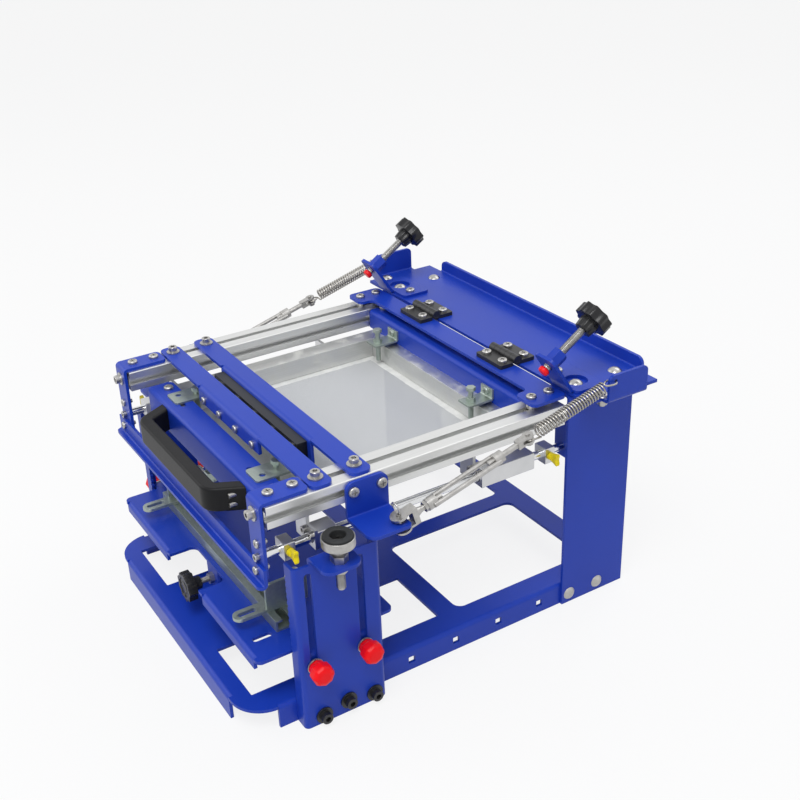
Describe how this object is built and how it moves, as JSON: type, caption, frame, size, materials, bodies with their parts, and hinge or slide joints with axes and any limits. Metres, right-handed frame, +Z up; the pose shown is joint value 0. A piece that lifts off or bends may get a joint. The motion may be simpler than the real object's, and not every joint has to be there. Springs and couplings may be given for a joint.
{
  "type": "tabletop screen printing press",
  "caption": "Tabletop screen printing press: hinged rail carrier with sprung links, sliding screen frame, squeegee bars and a height-adjustable platform between slotted towers.",
  "frame": {"origin": "bottom centre of the box around the whole press, at rest with the screen carrier level and closed", "axes": "+X to the right as seen by a printer who faces the handle, +Y from the handle to the rear tray, +Z up"},
  "size_m": [0.414, 0.426, 0.3098],
  "materials": {
    "blue_paint": "gloss powder coat",
    "black_steel": "satin black",
    "anodised_rail": "satin anodised",
    "machined_aluminium": "fine machined",
    "bright_steel": "bright zinc plate",
    "ground_shaft": "ground and polished",
    "spring_wire": "plated wire",
    "black_plastic": "satin moulded",
    "red_plastic": "gloss moulded",
    "yellow_plastic": "gloss moulded",
    "blade_rubber": "smooth",
    "mesh_fabric": "fine woven mesh"
  },
  "bodies": {
    "frame": {"base_plate": "blue_paint", "rear_legs": "blue_paint", "rear_tray": "blue_paint", "hinge_leaves_fixed": "black_steel", "limit_brackets": "blue_paint", "frame_bolts": "bright_steel", "towers": "blue_paint", "tower_bolts": "black_steel"},
    "platform": {"platform": "blue_paint", "platform_track": "bright_steel", "platform_screws": "bright_steel"},
    "platform_knob": {"platform_knob": "black_plastic"},
    "carrier": {"cross_plate": "blue_paint", "hinge_leaves_moving": "black_steel", "side_rails": "anodised_rail", "front_brackets": "blue_paint", "lower_bar": "blue_paint", "squeegee_bar_front": "blue_paint", "squeegee_bar_rear": "blue_paint", "squeegee_holder": "anodised_rail", "squeegee_blade": "blade_rubber", "spring_anchors": "blue_paint", "carrier_screws": "bright_steel", "guide_shafts": "ground_shaft", "shaft_hangers": "blue_paint"},
    "carriage": {"front_channel": "blue_paint", "rear_channel": "blue_paint", "bearing_blocks": "machined_aluminium", "screen_frame": "anodised_rail", "screen_mesh": "mesh_fabric", "frame_clamps": "bright_steel", "carriage_screws": "bright_steel", "handle": "black_plastic"},
    "roller_tongue_left": {"roller_tongue_left": "bright_steel"},
    "roller_left": {"roller_left": "bright_steel"},
    "limit_tip_left": {"limit_tip_left": "red_plastic"},
    "limit_screw_left": {"limit_screw_left": "black_plastic"},
    "stop_pad_left": {"stop_pad_left": "bright_steel"},
    "clamp_knob_front_left": {"clamp_knob_front_left": "red_plastic"},
    "stop_collar_front_left": {"stop_collar_front_left": "machined_aluminium"},
    "wing_screw_front_left": {"wing_screw_front_left": "yellow_plastic"},
    "clamp_knob_rear_left": {"clamp_knob_rear_left": "red_plastic"},
    "stop_collar_rear_left": {"stop_collar_rear_left": "machined_aluminium"},
    "wing_screw_rear_left": {"wing_screw_rear_left": "yellow_plastic"},
    "spring_left": {"spring_left": "spring_wire"},
    "turnbuckle_left": {"turnbuckle_left": "bright_steel"},
    "roller_tongue_right": {"roller_tongue_right": "bright_steel"},
    "roller_right": {"roller_right": "bright_steel"},
    "limit_tip_right": {"limit_tip_right": "red_plastic"},
    "limit_screw_right": {"limit_screw_right": "black_plastic"},
    "stop_pad_right": {"stop_pad_right": "bright_steel"},
    "clamp_knob_front_right": {"clamp_knob_front_right": "red_plastic"},
    "stop_collar_front_right": {"stop_collar_front_right": "machined_aluminium"},
    "wing_screw_front_right": {"wing_screw_front_right": "yellow_plastic"},
    "clamp_knob_rear_right": {"clamp_knob_rear_right": "red_plastic"},
    "stop_collar_rear_right": {"stop_collar_rear_right": "machined_aluminium"},
    "wing_screw_rear_right": {"wing_screw_rear_right": "yellow_plastic"},
    "spring_right": {"spring_right": "spring_wire"},
    "turnbuckle_right": {"turnbuckle_right": "bright_steel"}
  },
  "joints": [
    {"name": "platform_height", "type": "slide", "parent": "frame", "child": "platform", "axis": [0, 0, 1], "range_m": [-0.006, 0.05]},
    {"name": "platform_knob_turn", "type": "hinge", "parent": "platform", "child": "platform_knob", "pos_m": [0, -0.173, 0.058], "axis": [0, -1, 0], "continuous": true},
    {"name": "carrier_tilt", "type": "hinge", "parent": "frame", "child": "carrier", "pos_m": [0, 0.1253, 0.2376], "axis": [-1, 0, 0], "range_deg": [0, 40]},
    {"name": "carriage_travel", "type": "slide", "parent": "carrier", "child": "carriage", "axis": [0, 1, 0], "range_m": [-0.0125, 0.0125]},
    {"name": "roller_tongue_left_slide", "type": "slide", "parent": "platform", "child": "roller_tongue_left", "axis": [-1, 0, 0], "range_m": [-0.03, 0.02]},
    {"name": "roller_left_turn", "type": "hinge", "parent": "roller_tongue_left", "child": "roller_left", "pos_m": [-0.11, -0.132, 0.106], "axis": [-1, 0, 0], "continuous": true},
    {"name": "limit_left_travel", "type": "slide", "parent": "frame", "child": "limit_tip_left", "axis": [0, 0.8387, 0.5446], "range_m": [0, 0.0028]},
    {"name": "limit_left_turn", "type": "hinge", "parent": "limit_tip_left", "child": "limit_screw_left", "pos_m": [-0.152, 0.1028, 0.2555], "axis": [0, 0.8387, 0.5446], "range_deg": [0, 810]},
    {"name": "stop_pad_left_height", "type": "slide", "parent": "frame", "child": "stop_pad_left", "axis": [0, 0, 1], "range_m": [-0.006, 0.012]},
    {"name": "clamp_knob_front_left_turn", "type": "hinge", "parent": "platform", "child": "clamp_knob_front_left", "pos_m": [-0.18, -0.152, 0.0648], "axis": [-1, 0, 0], "continuous": true},
    {"name": "stop_collar_front_left_slide", "type": "slide", "parent": "carrier", "child": "stop_collar_front_left", "axis": [0, 1, 0], "range_m": [-0.014, 0]},
    {"name": "wing_screw_front_left_turn", "type": "hinge", "parent": "stop_collar_front_left", "child": "wing_screw_front_left", "pos_m": [-0.165, -0.158, 0.1735], "axis": [-1, 0, 0], "continuous": true},
    {"name": "clamp_knob_rear_left_turn", "type": "hinge", "parent": "platform", "child": "clamp_knob_rear_left", "pos_m": [-0.18, -0.1035, 0.0648], "axis": [-1, 0, 0], "continuous": true},
    {"name": "stop_collar_rear_left_slide", "type": "slide", "parent": "carrier", "child": "stop_collar_rear_left", "axis": [0, 1, 0], "range_m": [0, 0.014]},
    {"name": "wing_screw_rear_left_turn", "type": "hinge", "parent": "stop_collar_rear_left", "child": "wing_screw_rear_left", "pos_m": [-0.165, 0.108, 0.1735], "axis": [-1, 0, 0], "continuous": true},
    {"name": "spring_left_swing", "type": "hinge", "parent": "frame", "child": "spring_left", "pos_m": [-0.195, 0.15, 0.2515], "axis": [-1, 0, 0], "range_deg": [0, 35.6]},
    {"name": "link_left_draw", "type": "slide", "parent": "spring_left", "child": "turnbuckle_left", "axis": [0, 0.9627, 0.2707], "range_m": [0, 0.00876], "deforming": ["spring_left"]},
    {"name": "roller_tongue_right_slide", "type": "slide", "parent": "platform", "child": "roller_tongue_right", "axis": [1, 0, 0], "range_m": [-0.03, 0.02]},
    {"name": "roller_right_turn", "type": "hinge", "parent": "roller_tongue_right", "child": "roller_right", "pos_m": [0.11, -0.132, 0.106], "axis": [1, 0, 0], "continuous": true},
    {"name": "limit_right_travel", "type": "slide", "parent": "frame", "child": "limit_tip_right", "axis": [0, 0.8387, 0.5446], "range_m": [0, 0.0028]},
    {"name": "limit_right_turn", "type": "hinge", "parent": "limit_tip_right", "child": "limit_screw_right", "pos_m": [0.152, 0.1028, 0.2555], "axis": [0, 0.8387, 0.5446], "range_deg": [0, 810]},
    {"name": "stop_pad_right_height", "type": "slide", "parent": "frame", "child": "stop_pad_right", "axis": [0, 0, 1], "range_m": [-0.006, 0.012]},
    {"name": "clamp_knob_front_right_turn", "type": "hinge", "parent": "platform", "child": "clamp_knob_front_right", "pos_m": [0.18, -0.152, 0.0648], "axis": [1, 0, 0], "continuous": true},
    {"name": "stop_collar_front_right_slide", "type": "slide", "parent": "carrier", "child": "stop_collar_front_right", "axis": [0, 1, 0], "range_m": [-0.014, 0]},
    {"name": "wing_screw_front_right_turn", "type": "hinge", "parent": "stop_collar_front_right", "child": "wing_screw_front_right", "pos_m": [0.165, -0.158, 0.1735], "axis": [1, 0, 0], "continuous": true},
    {"name": "clamp_knob_rear_right_turn", "type": "hinge", "parent": "platform", "child": "clamp_knob_rear_right", "pos_m": [0.18, -0.1035, 0.0648], "axis": [1, 0, 0], "continuous": true},
    {"name": "stop_collar_rear_right_slide", "type": "slide", "parent": "carrier", "child": "stop_collar_rear_right", "axis": [0, 1, 0], "range_m": [0, 0.014]},
    {"name": "wing_screw_rear_right_turn", "type": "hinge", "parent": "stop_collar_rear_right", "child": "wing_screw_rear_right", "pos_m": [0.165, 0.108, 0.1735], "axis": [1, 0, 0], "continuous": true},
    {"name": "spring_right_swing", "type": "hinge", "parent": "frame", "child": "spring_right", "pos_m": [0.195, 0.15, 0.2515], "axis": [-1, 0, 0], "range_deg": [0, 35.6]},
    {"name": "link_right_draw", "type": "slide", "parent": "spring_right", "child": "turnbuckle_right", "axis": [0, 0.9627, 0.2707], "range_m": [0, 0.00876], "deforming": ["spring_right"]}
  ],
  "couplings": [
    {"joint": "limit_left_turn", "follows": "limit_left_travel", "rad_per_m": 5026.5},
    {"joint": "spring_left_swing", "follows": "carrier_tilt", "ratio": 0.89},
    {"joint": "link_left_draw", "follows": "carrier_tilt", "m_per_rad": 0.01255},
    {"joint": "limit_right_turn", "follows": "limit_right_travel", "rad_per_m": 5026.5},
    {"joint": "spring_right_swing", "follows": "carrier_tilt", "ratio": 0.89},
    {"joint": "link_right_draw", "follows": "carrier_tilt", "m_per_rad": 0.01255}
  ]
}
